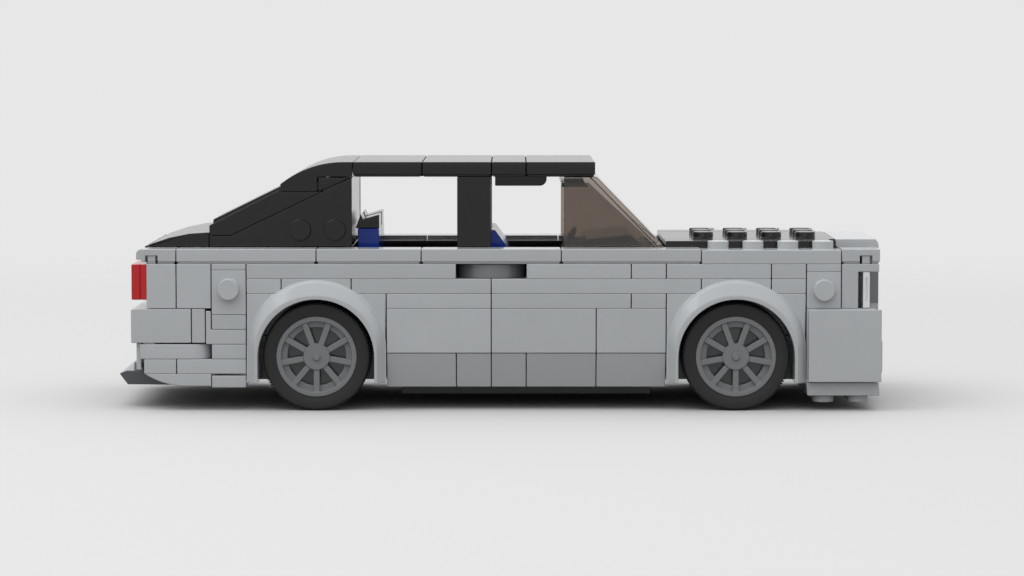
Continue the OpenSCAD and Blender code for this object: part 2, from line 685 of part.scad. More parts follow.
// Headrests on the rear seats, with a raised front edge
module headrests() color(black) both_sides()
  across(pitch / 4, 1.75 * pitch)
    polygon(kz([[5.03, belt_z + 3.8], [5.72, belt_z + 3.8], [5.72, belt_z + 7],
    [5.14, belt_z + 6.2], [5.03, belt_z + 6.2]]));

// Black rails along both edges of the bonnet, with a sloped front end
module hood_rails() color(black) both_sides()
  difference() {
    across(2 * pitch + side_gap, cabin_y - side_gap)
      polygon(kz([[14.02, gz(9)], [18.98, gz(9)], [18.98, belt_z], [18.8, hood_z], [14.02, hood_z]]));
    hollow(14, 2, gz(9), 5, 1, stud_h + head_room);
  }

// Bonnet panel with three rows of studs
module hood_panel() color(black) {
  block(14, -2, hood_z - plate_h, 5, 4, plate_h);
  studs(14.7, -1.5, hood_z - stud_sink, 4, 3);
}

// Cross walls: behind the rear seats, before the dashboard and behind the grille
module bulkheads() color(black) {
  y = cabin_y - plate_h - side_gap;
  across(-y, y) polygon(kz([[4.7, belt_z], [4.97, belt_z], [4.97, roof_z - 2 * side_gap],
    [4.7, roof_z - 1.25]]));
  brick(4, -2, gz(2), 1, 4, gz(9) - gz(2), true);
  brick(14, -2, gz(2), 1, 4, hood_z - plate_h - gz(2), true);
  brick(18, -2, bumper_z, 1, 4, hood_z - plate_h - bumper_z, true);
  both_sides() brick(18, 2, gz(6), 1, 1, gz(9) - gz(6), true);
}

// Grille frame with a rounded cap, four studs wide
module grille_shell() color(grey) {
  w = 2 * pitch - side_gap;
  difference() {
    across(-w, w) {
      r = frame_w;
      x0 = gx(19) + side_gap;
      x1 = gx(20.27);
      z0 = bumper_z + side_gap;
      translate([x0, z0]) square([x1 - x0 - r, hood_z - z0]);
      translate([x0, z0]) square([x1 - x0, hood_z - z0 - r]);
      translate([x1 - r, hood_z - r]) circle(r);
    }
    translate([gx(19.4), frame_w - w, bumper_z + frame_w])
      cube([pitch, 2 * (w - frame_w), belt_z - bumper_z - 2 * frame_w]);
  }
}

module grille_bars() color(dark) {
  w = 2 * pitch - side_gap - frame_w;
  step = 2 * w / bar_n;
  for (i = [0 : bar_n - 1]) translate([gx(19.4), (i + 0.5) * step - w - bar_w / 2, bumper_z + frame_w])
    cube([0.72 * pitch, bar_w, belt_z - bumper_z - 2 * frame_w]);
}

// Clear bars before the headlamps, grooved along the middle
module headlamp_lenses() color([0.85, 0.88, 0.9, 0.5]) both_sides() {
  w = 0.19 * pitch;
  h = lamp_z - gz(6) - 2 * side_gap;
  cap = 0.16 * h;
  translate([gx(19.62), 2 * pitch + side_gap, gz(6) + side_gap]) difference() {
    cube([w, 2 * pitch - 2 * side_gap, h]);
    translate([0.4 * w, 2 * pitch - 6 * side_gap, cap]) cube([0.25 * w, 1, h - 2 * cap]);
  }
}

// Blocks behind the lenses and the thin plates that roof them
module headlamp_bricks() color(grey) both_sides() {
  block(19, 2, gz(6), 0.48 + side_gap / pitch, 2, lamp_z - gz(6));
  block(19, 2, lamp_z, 1, 2, light_gap);
  block(18, 3, lamp_z, 1, 1, light_gap);
}

// Front corners: blocks with side studs
module front_corner_bricks() color(grey) both_sides() block(18, 2, gz(1), 2, 2, gz(6) - gz(1));

// Square tiles that stand out from the side in front of the front wheels
module front_side_tiles() color(grey) both_sides() {
  w = 2.08 * pitch;
  h = gz(6) - gz(1) - 4 * side_gap;
  translate([gx(18.06), side_y - side_gap, gz(1) + 2.5 * side_gap]) {
    translate([0, groove_h, 0]) cube([w, tile_proud - groove_h, h]);
    translate([groove_d, 0, groove_d]) cube([w - 2 * groove_d, groove_h + eps, h - 2 * groove_d]);
  }
}

// Middle of the front bumper
module front_bumper() color(grey) {
  r = 1.2;
  w = 2 * pitch - side_gap;
  across(-w, w) {
    translate([gx(18) + side_gap, gz(1)]) square([gx(nose_k) - gx(18) - side_gap - r, bumper_z - gz(1)]);
    translate([gx(18) + side_gap, gz(1) + r])
      square([gx(nose_k) - gx(18) - side_gap, bumper_z - gz(1) - 2 * r]);
    for (z = [gz(1) + r, bumper_z - r]) translate([gx(nose_k) - r, z]) circle(r);
  }
}

// Lip under the nose: an upturned plate whose studs point at the ground
module front_lip() color(grey) {
  block(18, -4, gz(0), 2.1, 8, plate_h);
  for (i = [0, 1], m = [-4 : 3]) translate([gx(18.5 + i), (m + 0.5) * pitch, gz(0) - stud_h])
    cylinder(d = stud_d, h = stud_h + skin_t / 2);
}

belly_plate();
frame_plates();
axle_carriers();
axle_bricks();
wheel_pins();
wheel_well_bricks();
rim_front_left();
rim_front_right();
rim_rear_left();
rim_rear_right();
tyre_front_left();
tyre_front_right();
tyre_rear_left();
tyre_rear_right();
floor_plate();
sill_brackets();
sill_pieces();
door_bricks();
lower_side_plates();
middle_side_plates();
shoulder_plates();
waist_tiles();
waist_end_tiles();
fender_stud_plates();
door_handles();
wheel_arches();
side_stud_bricks();
rear_quarter_plates();
rear_corner_bricks();
tail_lamps();
boot_panel();
rear_bumper();
rear_strips();
rear_valance();
diffuser();
boot_slopes();
quarter_wedges();
rear_window_slopes();
roof_rear_curves();
roof_tiles();
roof_underplates();
centre_pillars();
inner_sills();
windscreen();
dashboard();
steering_wheel();
seats();
headrests();
hood_rails();
hood_panel();
bulkheads();
grille_shell();
grille_bars();
headlamp_lenses();
headlamp_bricks();
front_corner_bricks();
front_side_tiles();
front_bumper();
front_lip();
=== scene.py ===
"""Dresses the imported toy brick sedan: moulded pieces with rounded edges, treaded tyres and a plain studio."""
import json
import math

import bmesh
import bpy
import numpy as np
from bpy.props import FloatProperty, FloatVectorProperty, IntProperty, PointerProperty
from bpy.types import Operator, Panel, PropertyGroup
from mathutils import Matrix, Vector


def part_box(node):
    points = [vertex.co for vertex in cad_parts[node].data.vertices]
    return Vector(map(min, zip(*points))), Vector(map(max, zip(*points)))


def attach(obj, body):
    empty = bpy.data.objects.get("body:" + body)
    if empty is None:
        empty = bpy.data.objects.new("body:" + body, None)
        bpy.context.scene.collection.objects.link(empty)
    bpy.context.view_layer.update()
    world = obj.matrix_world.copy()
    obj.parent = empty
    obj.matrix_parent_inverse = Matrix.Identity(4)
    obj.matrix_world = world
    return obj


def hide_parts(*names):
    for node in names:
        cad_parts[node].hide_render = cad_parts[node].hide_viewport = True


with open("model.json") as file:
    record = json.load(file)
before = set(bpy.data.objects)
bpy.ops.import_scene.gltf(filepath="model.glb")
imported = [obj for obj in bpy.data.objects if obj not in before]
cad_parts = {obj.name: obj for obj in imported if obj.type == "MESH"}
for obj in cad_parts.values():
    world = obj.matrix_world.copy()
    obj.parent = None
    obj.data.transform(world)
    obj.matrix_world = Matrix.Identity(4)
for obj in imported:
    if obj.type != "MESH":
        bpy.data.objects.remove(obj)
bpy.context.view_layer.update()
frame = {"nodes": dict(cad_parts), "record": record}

bl_info = {
    "name": "Toy Brick Sedan",
    "version": (1, 0, 0),
    "blender": (4, 5, 0),
    "location": "View3D > Sidebar > Sedan",
    "description": "Finishes a toy brick sedan with moulded plastic, rubber tyres and a studio",
    "category": "Object",
}

SLOT = {part["node"]: part["material_slot"] for part in frame["record"]["subparts"]}
BODY = {node: body for body, nodes in frame["record"]["behaviour"]["bodies"].items() for node in nodes}
WHEELS = ("front_left", "front_right", "rear_left", "rear_right")

RUNNING_GEAR = ("belly_plate", "frame_plates", "axle_carriers", "axle_bricks", "wheel_pins",
                "wheel_well_bricks", "floor_plate", "sill_brackets")
SIDES = ("sill_pieces", "door_bricks", "lower_side_plates", "middle_side_plates", "shoulder_plates",
         "waist_tiles", "waist_end_tiles", "fender_stud_plates", "door_handles", "wheel_arches",
         "side_stud_bricks")
TAIL = ("rear_quarter_plates", "rear_corner_bricks", "tail_lamps", "boot_panel", "rear_bumper",
        "rear_strips", "rear_valance", "diffuser", "boot_slopes")
CABIN = ("quarter_wedges", "rear_window_slopes", "roof_rear_curves", "roof_tiles", "roof_underplates",
         "centre_pillars", "inner_sills", "dashboard", "steering_wheel", "seats", "headrests")
NOSE = ("hood_rails", "hood_panel", "bulkheads", "grille_shell", "grille_bars", "headlamp_bricks",
        "front_corner_bricks", "front_side_tiles", "front_bumper", "front_lip")
GLAZING = ("windscreen", "headlamp_lenses")

# Stud spacing, the stud line at the origin and the height of the waist, in millimetres.
STUD, MIDDLE, WAIST = 8.0, 9.325, 37.1
# Corners that lie nearer than this are one corner, and faces that turn by less than this are one flat face.
MERGE, FLAT = 2e-6, math.radians(0.5)
# How near a corner lies to a listed place, in stud lines and in millimetres.
LINE_SLACK, SLACK = 0.006, 0.05
# Distances from the middle of the car: all of it, the middle columns, the outer ones and the side walls.
WHOLE, INNER, OUTER, EDGE = (0, 32), (0, 20.55), (20.55, 32), (24, 32)
# The dark sheets that paint the shade in the headlamp recesses beside the grille: their stud lines, heights,
# distance from the middle and thickness.
SHADE_SHEET_LINES, SHADE_SHEET_HEIGHTS, SHADE_SHEET_OUT, SHADE_SHEET_THICK = (19.5, 20.26), (23.6, 31.8), 16.0, 0.1


def times(factor, offset=0):
    """A new place as a factor of the old one, and an offset."""
    return factor, offset


def by(offset):
    """A new place at an offset from the old one."""
    return times(1, offset)


def at(spot):
    """A new place by itself."""
    return times(0, spot)


SAME = by(0)
# Profile corners that lie elsewhere on the moulded pieces: the stud lines, the heights over the waist and the
# distances from the middle that they are found between, then their new stud line and their new height.
SETTLE = {
    # Rear window, roof and boot lid.
    "quarter_wedges": (((1.02, 1.02), (0, 3), WHOLE, at(0.87), times(0.867)),
                       ((1.77, 1.77), (3, 3), WHOLE, at(1.51), times(0.867))),
    "rear_window_slopes": (((1.02, 1.02), (0, 5.7), INNER, at(0.95), times(1.088)),
                           ((2.98, 2.98), (12.7, 13.9), INNER, at(2.9), SAME),
                           ((1.02, 1.74), (3.1, 3.1), OUTER, times(0.847, 0.006), by(-0.4)),
                           ((1.02, 1.02), (5.7, 5.7), OUTER, at(0.87), by(-0.7)),
                           ((4.13, 4.15), (12.7, 12.8), OUTER, by(-0.025), SAME),
                           ((2.98, 2.98), (12.7, 12.8), OUTER, at(2.9), SAME),
                           ((2.98, 2.98), (13.9, 13.9), OUTER, at(2.9), by(-0.7))),
    "roof_rear_curves": (((3.01, 3.01), (12.8, 12.8), WHOLE, at(2.92), SAME),
                         ((3.01, 3.01), (15, 15.1), WHOLE, at(2.92), by(-0.5)),
                         ((4.08, 4.08), (12, 16.3), WHOLE, at(3.98), SAME)),
    "roof_underplates": (((4.12, 4.12), (12, 16.2), WHOLE, at(4.02), SAME),
                         ((4.93, 4.93), (16, 16.1), WHOLE, SAME, by(-0.15))),
    "bulkheads": (((4.7, 4.7), (14.9, 15), WHOLE, at(4.06), by(-1.75)),),
    "boot_slopes": (((-1, 1), (-1, 4), WHOLE, by(-0.13), SAME),),
    # Seats, dashboard and windscreen.
    "headrests": (((5.14, 5.14), (6.2, 6.2), WHOLE, at(5.24), by(-0.3)),
                  ((5.03, 5.03), (6.2, 6.2), WHOLE, at(5.18), by(0.9))),
    "seats": (((5.75, 5.75), (-13.6, -13.6), WHOLE, at(5.1), SAME),
              ((6.5, 6.5), (-13.6, -13.6), WHOLE, at(5.75), SAME),
              ((8.5, 9.05), (5.8, 5.8), WHOLE, by(0.05), times(0.6))),
    "steering_wheel": (((10, 13), (-10, 10), WHOLE, by(-0.25), by(-2)),),
    "dashboard": (((12.1, 12.1), (0, 0.6), WHOLE, at(11.75), times(2.8)),
                  ((13.2, 13.2), (1.4, 1.4), WHOLE, at(13), by(1.3))),
    "windscreen": (((13.6, 13.95), (-0.1, 0.1), WHOLE, by(0.1), SAME),
                   ((11.7, 12.2), (14, 16.3), WHOLE, by(-0.08), SAME)),
    "inner_sills": (((5, 13), (0, 0), (15.9, 32), SAME, by(-0.8)),),
    # Tail corners and lamps.
    "rear_strips": (((-1.1, -0.94), (-28, -21), WHOLE, by(-0.07), SAME),),
    "rear_quarter_plates": (((0.84, 0.99), (-15.1, -15.06), WHOLE, SAME, by(0.9)),
                            ((-0.88, -0.87), (-29, -25), WHOLE, by(-0.05), SAME),
                            ((1, 2), (-32, -32), EDGE, SAME, by(0.25))),
    "rear_valance": (((-0.9, 0.97), (-31.6, -28.6), EDGE, times(1.176, -0.1725), SAME),),
    "tail_lamps": (((-2, -0.8), (-11.3, -11.3), WHOLE, SAME, by(-0.3)),),
    "side_stud_bricks": (((1.15, 1.85), (-14, 0), (31.93, 36), SAME, by(-0.4)),),
    # Front wings, headlamps and grille.
    "fender_stud_plates": (((14, 20), (0, 1.4), EDGE, SAME, by(-0.2)),),
    "waist_end_tiles": (((19.9, 20), (-3.4, 0), EDGE, by(0.11), SAME),),
    "headlamp_bricks": (((19.95, 20), (-5.2, -3.4), WHOLE, by(0.09), SAME),),
    "grille_shell": (((19.97, 20.27), (-1, 1.4), WHOLE, times(0.4333, 11.487), times(0.833, 0.233)),),
    "front_lip": (((18, 20.2), (-36, -34), WHOLE, by(0.03), by(0.4)),),
}


def linear(hex_colour):
    """Turns an sRGB hex colour into linear red, green and blue."""
    value = np.array([int(hex_colour[i:i + 2], 16) for i in (0, 2, 4)]) / 255
    return tuple(np.where(value <= 0.04045, value / 12.92, ((value + 0.055) / 1.055) ** 2.4))


def colour(name, description, hex_colour):
    """A colour setting with its default from an sRGB hex value."""
    return FloatVectorProperty(name=name, description=description, subtype="COLOR", size=3, min=0, max=1,
                               default=linear(hex_colour))


class SEDAN_PG_mould(PropertyGroup):
    """How the moulded pieces are finished."""
    edge: FloatProperty(name="Edge radius", description="Radius of a moulded piece's edges", default=0.00018,
                        unit="LENGTH")
    steps: IntProperty(name="Edge steps", description="Faces across a rounded edge", default=2, min=1)
    sharp: FloatProperty(name="Edge angle", description="Smallest angle between faces that makes an edge",
                         default=math.radians(22), subtype="ANGLE")


class SEDAN_PG_tyre(PropertyGroup):
    """How the tyres are cut."""
    teeth: IntProperty(name="Teeth", description="Number of tread teeth round a tyre", default=114, min=20)
    depth: FloatProperty(name="Tread depth", description="Depth of the grooves between teeth",
                         default=0.00042, unit="LENGTH")
    shoulder: FloatProperty(name="Shoulder", description="Radius of a tyre's shoulders", default=0.0007,
                            unit="LENGTH")
    bead: FloatProperty(name="Bead", description="Depth of the step beside the rim", default=0.00015,
                        unit="LENGTH")
    crease: FloatProperty(name="Crease", description="Smallest angle that stays sharp on a tyre",
                          default=math.radians(38), subtype="ANGLE")


class SEDAN_PG_rim(PropertyGroup):
    """How the rims are closed behind their spokes."""
    hub: FloatProperty(name="Hub", description="Radius of a rim's hub", default=0.00305, unit="LENGTH")
    inset: FloatProperty(name="Web inset", description="Depth of the web behind the rim's face",
                         default=0.0036, unit="LENGTH")
    thick: FloatProperty(name="Web", description="Thickness of the web", default=0.0008, unit="LENGTH")
    inner: FloatProperty(name="Web bore", description="Radius at which the web meets the hub", default=0.003,
                         unit="LENGTH")
    outer: FloatProperty(name="Web edge", description="Radius at which the web meets the barrel",
                         default=0.0084, unit="LENGTH")


class SEDAN_PG_colours(PropertyGroup):
    """Colours of the pieces and the studio."""
    grey: colour("Grey", "Body pieces", "A9ACAE")
    black: colour("Black", "Roof, bonnet and chassis pieces", "141414")
    # Dark grey also paints the shade on the thin sheets behind the headlamp lenses.
    dark: colour("Dark grey", "Rims, handles, grille and lamp backs", "707274")
    charcoal: colour("Charcoal", "Diffuser and wheel webs", "484A4C")
    blue: colour("Blue", "Seats", "1B3A9A")
    red: colour("Red", "Tail lamps", "B41C20")
    tint: colour("Tint", "Windscreen", "9A8E83")
    # Near-white lens colour with little transmission: painted brightness standing in for the light that a clear
    # lens refracts.
    clear: colour("Clear", "Headlamp lenses", "F6F8F9")
    rubber: colour("Rubber", "Tyres", "262626")
    floor: colour("Floor", "Studio floor", "BABABA")
    bounce: colour("Bounce", "Studio floor as it lights the pieces", "808080")
    backdrop: colour("Backdrop", "Studio backdrop", "E7E7E7")


class SEDAN_PG_stage(PropertyGroup):
    """The studio and its camera."""
    sensor: FloatProperty(name="Sensor", description="Width of the sensor in millimetres", default=36)
    lens: FloatProperty(name="Lens", description="Focal length in millimetres", default=121.3)
    place: FloatVectorProperty(name="Camera", description="Place of the camera", subtype="XYZ", unit="LENGTH",
                               default=(0.00214, -0.818, 0.0847))
    tip: FloatProperty(name="Tip", description="How far the camera looks down", default=math.radians(4.11),
                       subtype="ANGLE")
    reach: FloatProperty(name="Floor reach", description="Radius at which the floor has faded", default=0.6,
                         unit="LENGTH")
    zenith: FloatProperty(name="Zenith", description="Strength of the light from above", default=1.9)
    horizon: FloatProperty(name="Horizon", description="Strength of the light from the sides", default=0.4)
    key: FloatProperty(name="Key", description="Power of the light over the tail, in watts", default=2.4)
    key_place: FloatVectorProperty(name="Key place", description="Place of the light over the tail",
                                   subtype="XYZ", unit="LENGTH", default=(-0.45, -0.25, 0.8))
    key_size: FloatProperty(name="Key size", description="Side of the light over the tail", default=0.7,
                            unit="LENGTH")
    fill: FloatProperty(name="Fill", description="Power of the light by the camera, in watts", default=0.5)
    fill_place: FloatVectorProperty(name="Fill place", description="Place of the light by the camera",
                                    subtype="XYZ", unit="LENGTH", default=(-0.1, -0.95, 0.35))
    fill_size: FloatProperty(name="Fill size", description="Side of the light by the camera", default=0.6,
                             unit="LENGTH")
    aim: FloatVectorProperty(name="Aim", description="Point that the lights face", subtype="XYZ",
                             unit="LENGTH", default=(0, 0, 0.02))


def add(tree, kind, links=None, inputs=None, **settings):
    """Adds a shader node, sets its properties and inputs, and links other sockets to its inputs."""
    node = tree.nodes.new("ShaderNode" + kind)
    for key, value in settings.items():
        setattr(node, key, value)
    for key, value in (inputs or {}).items():
        node.inputs[key].default_value = value
    for key, socket in (links or {}).items():
        tree.links.new(socket, node.inputs[key])
    return node


def blank(name):
    """An empty node material and its tree."""
    material = bpy.data.materials.new(name)
    material.use_nodes = True
    material.node_tree.nodes.clear()
    return material, material.node_tree


def rgba(hue):
    """A colour with full alpha."""
    return (*hue, 1.0)


def moulded_abs(name, base, rough=0.13, shine=0.5):
    """Injection-moulded ABS: bright gloss, faint sink marks, a haze of scratches and a tone for each piece."""
    material, tree = blank(name)
    coords = add(tree, "TexCoord").outputs["Object"]
    piece = add(tree, "NewGeometry").outputs["Random Per Island"]
    # Sink marks about 6 mm across, and a haze of fine scratches drawn at 0.5 mm so that it shows.
    sink = add(tree, "TexNoise", {"Vector": coords}, {"Scale": 1 / 0.006, "Detail": 1.0})
    haze = add(tree, "TexNoise", {"Vector": coords},
               {"Scale": 1 / 0.0005, "Detail": 3.0, "Roughness": 0.6})
    tone = add(tree, "MapRange", {"Value": piece}, {"To Min": 0.96, "To Max": 1.04})
    cloud = add(tree, "MapRange", {"Value": sink.outputs["Fac"]}, {"To Min": 0.97, "To Max": 1.03})
    value = add(tree, "Math", {0: tone.outputs["Result"], 1: cloud.outputs["Result"]}, operation="MULTIPLY")
    shade = add(tree, "HueSaturation", {"Value": value.outputs["Value"]}, {"Color": rgba(base)})
    gloss = add(tree, "MapRange", {"Value": haze.outputs["Fac"]},
                {"From Min": 0.3, "From Max": 0.7, "To Min": 0.75 * rough, "To Max": 1.35 * rough})
    wave = add(tree, "Bump", {"Height": sink.outputs["Fac"]}, {"Strength": 0.25, "Distance": 0.00012})
    skin = add(tree, "Bump", {"Height": haze.outputs["Fac"], "Normal": wave.outputs["Normal"]},
               {"Strength": 0.05, "Distance": 0.00001})
    shader = add(tree, "BsdfPrincipled",
                 {"Base Color": shade.outputs["Color"], "Roughness": gloss.outputs["Result"],
                  "Normal": skin.outputs["Normal"]},
                 {"IOR": 1.53, "Specular IOR Level": shine})
    add(tree, "OutputMaterial", {"Surface": shader.outputs["BSDF"]})
    return material


def polycarbonate(name, base, clear=1.0):
    """Moulded transparent polycarbonate: clear gloss with a faint flow ripple."""
    material, tree = blank(name)
    coords = add(tree, "TexCoord").outputs["Object"]
    # Ripples about 8 mm long, as the melt leaves them.
    flow = add(tree, "TexNoise", {"Vector": coords}, {"Scale": 1 / 0.008, "Detail": 1.0})
    gloss = add(tree, "MapRange", {"Value": flow.outputs["Fac"]}, {"To Min": 0.02, "To Max": 0.07})
    wave = add(tree, "Bump", {"Height": flow.outputs["Fac"]}, {"Strength": 0.15, "Distance": 0.00008})
    shader = add(tree, "BsdfPrincipled",
                 {"Roughness": gloss.outputs["Result"], "Normal": wave.outputs["Normal"]},
                 {"Base Color": rgba(base), "IOR": 1.58, "Transmission Weight": clear})
    add(tree, "OutputMaterial", {"Surface": shader.outputs["BSDF"]})
    return material


def tyre_rubber(name, base):
    """Moulded soft rubber: a matt black with a fine grain and a grey bloom."""
    material, tree = blank(name)
    coords = add(tree, "TexCoord").outputs["Object"]
    # Bloom in patches of 3 mm, and a grain drawn at 0.3 mm so that it shows.
    bloom = add(tree, "TexNoise", {"Vector": coords}, {"Scale": 1 / 0.003, "Detail": 3.0})
    grain = add(tree, "TexNoise", {"Vector": coords}, {"Scale": 1 / 0.0003, "Detail": 2.0})
    tone = add(tree, "MapRange", {"Value": bloom.outputs["Fac"]}, {"To Min": 0.8, "To Max": 1.2})
    shade = add(tree, "HueSaturation", {"Value": tone.outputs["Result"]}, {"Color": rgba(base)})
    gloss = add(tree, "MapRange", {"Value": bloom.outputs["Fac"]}, {"To Min": 0.5, "To Max": 0.72})
    skin = add(tree, "Bump", {"Height": grain.outputs["Fac"]}, {"Strength": 0.35, "Distance": 0.00003})
    shader = add(tree, "BsdfPrincipled",
                 {"Base Color": shade.outputs["Color"], "Roughness": gloss.outputs["Result"],
                  "Normal": skin.outputs["Normal"]},
                 {"IOR": 1.52, "Specular IOR Level": 0.3})
    add(tree, "OutputMaterial", {"Surface": shader.outputs["BSDF"]})
    return material


def finish_of(slot):
    """The material of a slot, made on first use."""
    if slot in bpy.data.materials and bpy.data.materials[slot].get("sedan"):
        return bpy.data.materials[slot]
    hues = bpy.context.scene.sedan_colours
    old = bpy.data.materials.get(slot)
    if old:
        old.name = slot + "_cad"
    made = {
        "grey_abs": lambda: moulded_abs(slot, hues.grey),
        "black_abs": lambda: moulded_abs(slot, hues.black, shine=0.32),
        "dark_grey_abs": lambda: moulded_abs(slot, hues.dark, 0.2),
        "charcoal_abs": lambda: moulded_abs(slot, hues.charcoal),
        "dark_blue_abs": lambda: moulded_abs(slot, hues.blue, shine=0.25),
        "red_abs": lambda: moulded_abs(slot, hues.red, shine=0.3),
        "tinted_polycarbonate": lambda: polycarbonate(slot, hues.tint),
        # The headlamp lenses pass only 0.3 of the light and are near white, which paints in the bright light
        # that a clear lens refracts.
        "clear_polycarbonate": lambda: polycarbonate(slot, hues.clear, 0.3),
        "tyre_rubber": lambda: tyre_rubber(slot, hues.rubber),
    }[slot]()
    made["sedan"] = True
    return made


def link(name, data):
    """Puts a new object in the scene."""
    thing = bpy.data.objects.new(name, data)
    bpy.context.scene.collection.objects.link(thing)
    return thing


def add_piece(mesh, name, body, slot):
    """Puts a finished mesh in the scene on a body, with a slot's material."""
    piece = link(name, mesh)
    mesh.materials.clear()
    mesh.materials.append(finish_of(slot))
    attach(piece, body)
    return piece


def place(mesh, name, node):
    """Puts a finished mesh in the scene for a CAD node, on its body and with its slot's material."""
    piece = add_piece(mesh, name, BODY[node], SLOT[node])
    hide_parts(node)
    return piece


def between(values, ends, slack):
    """Which values lie from the first end to the last, give or take the slack."""
    return (values > ends[0] - slack) & (values < ends[1] + slack)


def settle(spots, node):
    """The corners of a node, with those that SETTLE lists moved from where they were before."""
    line, rise = spots[:, 0] * 1000 / STUD + MIDDLE, spots[:, 2] * 1000 - WAIST
    out = np.abs(spots[:, 1]) * 1000
    moved = spots.copy()
    for lines, rises, outs, to_line, to_rise in SETTLE.get(node, ()):
        picked = between(line, lines, LINE_SLACK) & between(rise, rises, SLACK) & between(out, outs, SLACK)
        moved[picked, 0] = (to_line[0] * line[picked] + to_line[1] - MIDDLE) * STUD / 1000
        moved[picked, 2] = (to_rise[0] * rise[picked] + to_rise[1] + WAIST) / 1000
    return moved


def flare(spots, centre=0.01445, inside=0.0142, shorter=0.969, lower=0.85, skin=0.0001):
    """The corners of the wheel arches, with each front outline drawn in to its tyre, so that its face slopes.

    Front corners outside a circle round the flare's centre keep a share of their distance along the car, and
    those above the centre keep a share of their height over it.
    """
    axles = np.array([np.mean([corner[0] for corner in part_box("rim_" + wheel)])
                      for wheel in ("front_left", "rear_left")])
    axle = axles[np.abs(spots[:, :1] - axles).argmin(axis=1)]
    along, up, out = spots[:, 0] - axle, spots[:, 2] - centre, np.abs(spots[:, 1])
    front = (out > out.max() - skin) & (np.hypot(along, np.maximum(up, 0)) > inside)
    moved = spots.copy()
    moved[front, 0] = (axle + shorter * along)[front]
    moved[front, 2] = (centre + np.where(up > 0, lower, 1) * up)[front]
    return moved


def narrow_hub(spots, node, radius, ends=(0.0032, 0.0034)):
    """The corners of a rim, with those of its hub, which lie between two radii, drawn in to a new radius."""
    x, _, z = np.mean(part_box(node), axis=0)
    out = np.hypot(spots[:, 0] - x, spots[:, 2] - z)
    share = np.where(between(out, ends, 0), radius / np.maximum(out, ends[0]), 1)
    return np.stack([x + (spots[:, 0] - x) * share, spots[:, 1], z + (spots[:, 2] - z) * share], axis=-1)


def mould(node):
    """A moulded copy of a CAD node: loose triangles merged, flat neighbours joined and all edges rounded."""
    settings = bpy.context.scene.sedan_mould
    work = bmesh.new()
    work.from_mesh(frame["nodes"][node].data)
    bmesh.ops.remove_doubles(work, verts=work.verts, dist=MERGE)
    bmesh.ops.dissolve_limit(work, angle_limit=FLAT, verts=work.verts, edges=work.edges)
    mesh = bpy.data.meshes.new(node + "_moulded")
    work.to_mesh(mesh)
    work.free()
    for name in ("custom_normal", "sharp_face", "sharp_edge"):
        if name in mesh.attributes:
            mesh.attributes.remove(mesh.attributes[name])
    spots = np.empty(3 * len(mesh.vertices), dtype=np.float32)
    mesh.vertices.foreach_get("co", spots)
    spots = settle(spots.reshape(-1, 3).astype(float), node)
    if node == "wheel_arches":
        spots = flare(spots)
    if node.startswith("rim_"):
        spots = narrow_hub(spots, node, bpy.context.scene.sedan_rim.hub)
    mesh.vertices.foreach_set("co", spots.astype(np.float32).ravel())
    mesh.update()
    mesh.shade_smooth()
    piece = place(mesh, node + "_moulded", node)
    bevel = piece.modifiers.new("rounded_edges", "BEVEL")
    bevel.width = settings.edge
    bevel.segments = settings.steps
    bevel.limit_method = "ANGLE"
    bevel.angle_limit = settings.sharp
    bevel.use_clamp_overlap = False
    bevel.loop_slide = False
    flat = piece.modifiers.new("flat_faces", "WEIGHTED_NORMAL")
    flat.weight = 100


class Pieces:
    """Moulds the nodes that an operator lists."""
    nodes = ()

    def execute(self, context):
        for node in self.nodes:
            mould(node)
        return {"FINISHED"}


class SEDAN_OT_running_gear(Pieces, Operator):
    """Black plates and bricks that carry the wheels"""
    bl_idname = "sedan.running_gear"
    bl_label = "Running gear"
    nodes = RUNNING_GEAR


class SEDAN_OT_sides(Pieces, Operator):
    """Door bricks, side plates, waist tiles and arches"""
    bl_idname = "sedan.sides"
    bl_label = "Sides"
    nodes = SIDES


class SEDAN_OT_tail(Pieces, Operator):
    """Rear corners, lamps, bumper, diffuser and boot lid"""
    bl_idname = "sedan.tail"
    bl_label = "Tail"
    nodes = TAIL


class SEDAN_OT_cabin(Pieces, Operator):
    """Roof, pillars, rear window slopes and seats"""
    bl_idname = "sedan.cabin"
    bl_label = "Cabin"
    nodes = CABIN


class SEDAN_OT_nose(Pieces, Operator):
    """Bonnet, grille, front corners and bumper"""
    bl_idname = "sedan.nose"
    bl_label = "Nose"
    nodes = NOSE


def sheet(name, lines, heights, out, thick):
    """A thin upright dark grey box, which paints shade, between two stud lines and two heights, at a distance
    from the middle.

    Each of its eight points takes the low or the high end along, across and up.
    """
    ends = np.array([np.subtract(lines, MIDDLE) * STUD, (out - thick / 2, out + thick / 2), heights]) / 1000
    points = np.take_along_axis(ends, np.indices((2, 2, 2)).reshape(3, -1), axis=1).T
    faces = ((0, 1, 3, 2), (4, 6, 7, 5), (0, 4, 5, 1), (2, 3, 7, 6), (0, 2, 6, 4), (1, 5, 7, 3))
    mesh = bpy.data.meshes.new(name)
    mesh.from_pydata(points, [], faces)
    # The dark grey finish paints the shade of the headlamp recess.
    add_piece(mesh, name, "car", "dark_grey_abs")


class SEDAN_OT_recess_shade_sheets(Operator):
    """Dark sheets beside the grille, behind the headlamp lenses, that paint the shade of the recesses"""
    bl_idname = "sedan.lamp_backs"
    bl_label = "Lamp backs"

    def execute(self, context):
        # Each side gets a thin dark sheet that paints the shade in its headlamp recess.
        for name, side in (("right", -1), ("left", 1)):
            sheet("recess_shade_sheet_" + name, SHADE_SHEET_LINES, SHADE_SHEET_HEIGHTS, side * SHADE_SHEET_OUT, SHADE_SHEET_THICK)
        return {"FINISHED"}


